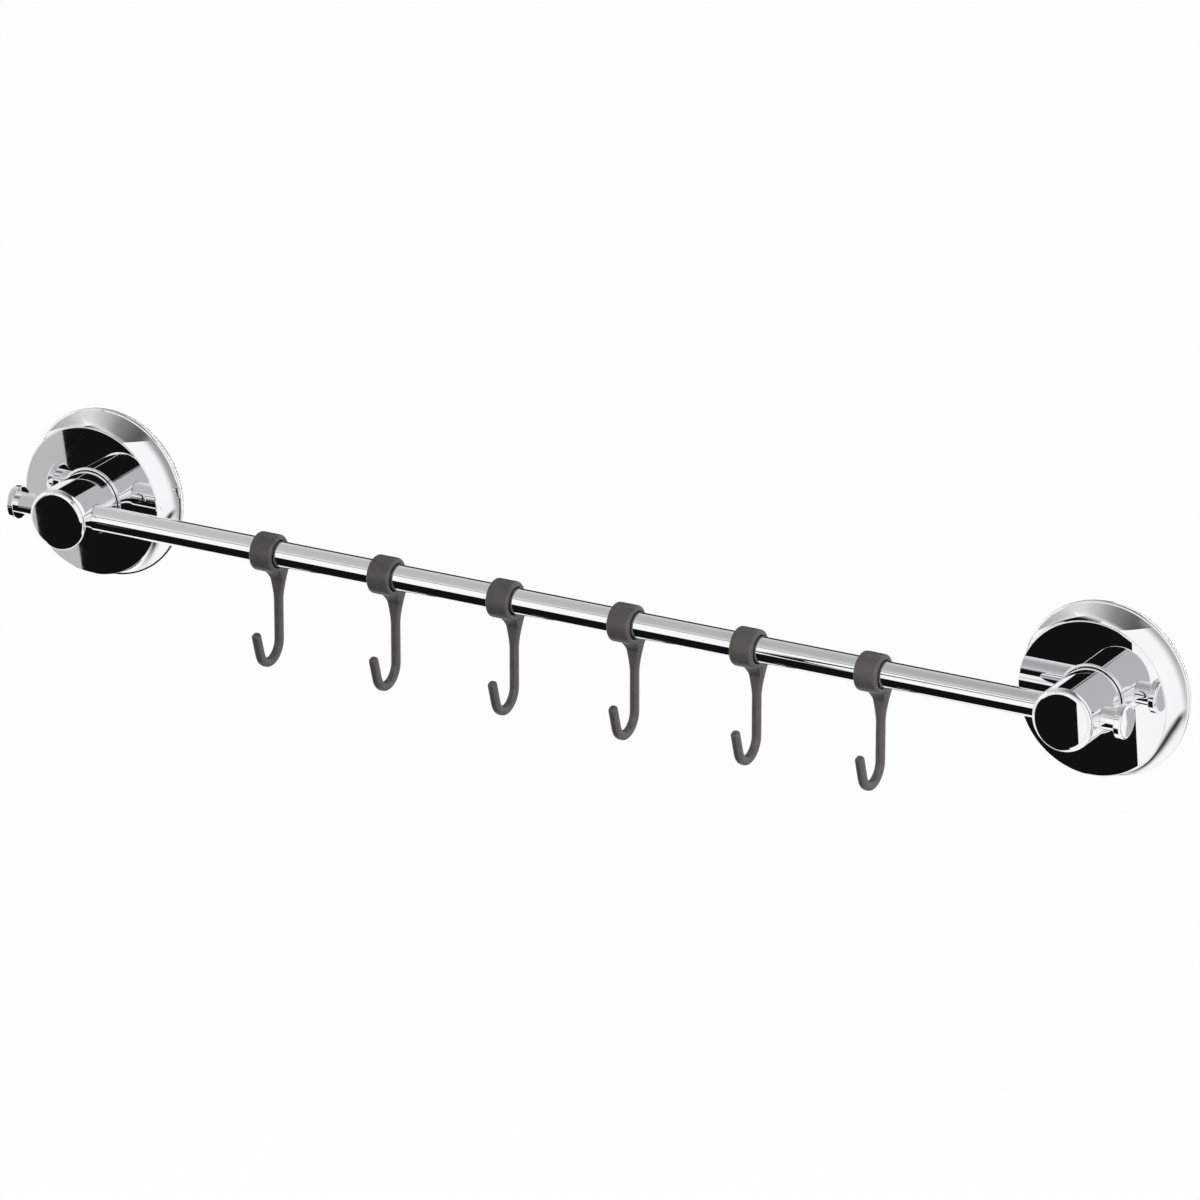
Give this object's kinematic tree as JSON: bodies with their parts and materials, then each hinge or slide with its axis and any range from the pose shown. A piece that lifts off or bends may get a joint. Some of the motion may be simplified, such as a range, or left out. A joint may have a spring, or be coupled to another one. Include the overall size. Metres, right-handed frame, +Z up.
{
  "type": "suction towel bar",
  "caption": "Chromed towel bar on suction cups that are clamped by turning bells, with moulded hooks sliding on the bar and a peg at each end.",
  "frame": {"origin": "on the bar's axis, midway between the posts", "axes": "+X along the bar, +Y towards the wall, square to the cups' lips, +Z up; the hooks hang towards -Z"},
  "size_m": [0.595, 0.0496, 0.0961],
  "materials": {
    "chrome": "polished chrome plate",
    "chrome_tube": "polished chrome-plated tube",
    "grey_plastic": "satin moulded plastic",
    "clear_vinyl": "soft clear vinyl",
    "white_plastic": "moulded plastic",
    "steel": "zinc-plated steel"
  },
  "bodies": {
    "root": {"bar": "chrome_tube", "post_left": "chrome", "peg_left": "chrome", "bar_end_insert_left": "steel", "suction_cup_left": "clear_vinyl", "anchor_stud_left": "white_plastic", "post_bolt_left": "steel", "post_right": "chrome", "peg_right": "chrome", "bar_end_insert_right": "steel", "suction_cup_right": "clear_vinyl", "anchor_stud_right": "white_plastic", "post_bolt_right": "steel"},
    "slip_ring_left": {"slip_ring_left": "white_plastic"},
    "clamp_bell_left": {"clamp_bell_left": "chrome"},
    "slip_ring_right": {"slip_ring_right": "white_plastic"},
    "clamp_bell_right": {"clamp_bell_right": "chrome"},
    "hook_1": {"hook_1": "grey_plastic"},
    "hook_2": {"hook_2": "grey_plastic"},
    "hook_3": {"hook_3": "grey_plastic"},
    "hook_4": {"hook_4": "grey_plastic"},
    "hook_5": {"hook_5": "grey_plastic"},
    "hook_6": {"hook_6": "grey_plastic"}
  },
  "joints": [
    {"name": "slip_ring_left_slide", "type": "slide", "parent": "root", "child": "slip_ring_left", "axis": [0, -1, 0], "range_m": [0, 0.003]},
    {"name": "clamp_bell_left_turn", "type": "hinge", "parent": "slip_ring_left", "child": "clamp_bell_left", "pos_m": [-0.257, 0.0174, 0], "axis": [0, -1, 0], "range_deg": [0, 270]},
    {"name": "slip_ring_right_slide", "type": "slide", "parent": "root", "child": "slip_ring_right", "axis": [0, -1, 0], "range_m": [0, 0.003]},
    {"name": "clamp_bell_right_turn", "type": "hinge", "parent": "slip_ring_right", "child": "clamp_bell_right", "pos_m": [0.257, 0.0174, 0], "axis": [0, -1, 0], "range_deg": [0, 270]},
    {"name": "hook_1_slide", "type": "slide", "parent": "root", "child": "hook_1", "axis": [1, 0, 0], "range_m": [-0.024, 0.024]},
    {"name": "hook_2_slide", "type": "slide", "parent": "root", "child": "hook_2", "axis": [1, 0, 0], "range_m": [-0.024, 0.024]},
    {"name": "hook_3_slide", "type": "slide", "parent": "root", "child": "hook_3", "axis": [1, 0, 0], "range_m": [-0.024, 0.024]},
    {"name": "hook_4_slide", "type": "slide", "parent": "root", "child": "hook_4", "axis": [1, 0, 0], "range_m": [-0.024, 0.024]},
    {"name": "hook_5_slide", "type": "slide", "parent": "root", "child": "hook_5", "axis": [1, 0, 0], "range_m": [-0.024, 0.024]},
    {"name": "hook_6_slide", "type": "slide", "parent": "root", "child": "hook_6", "axis": [1, 0, 0], "range_m": [-0.024, 0.024]}
  ],
  "couplings": [
    {"joint": "slip_ring_left_slide", "follows": "clamp_bell_left_turn", "m_per_rad": 0.00063662},
    {"joint": "slip_ring_right_slide", "follows": "clamp_bell_right_turn", "m_per_rad": 0.00063662}
  ]
}
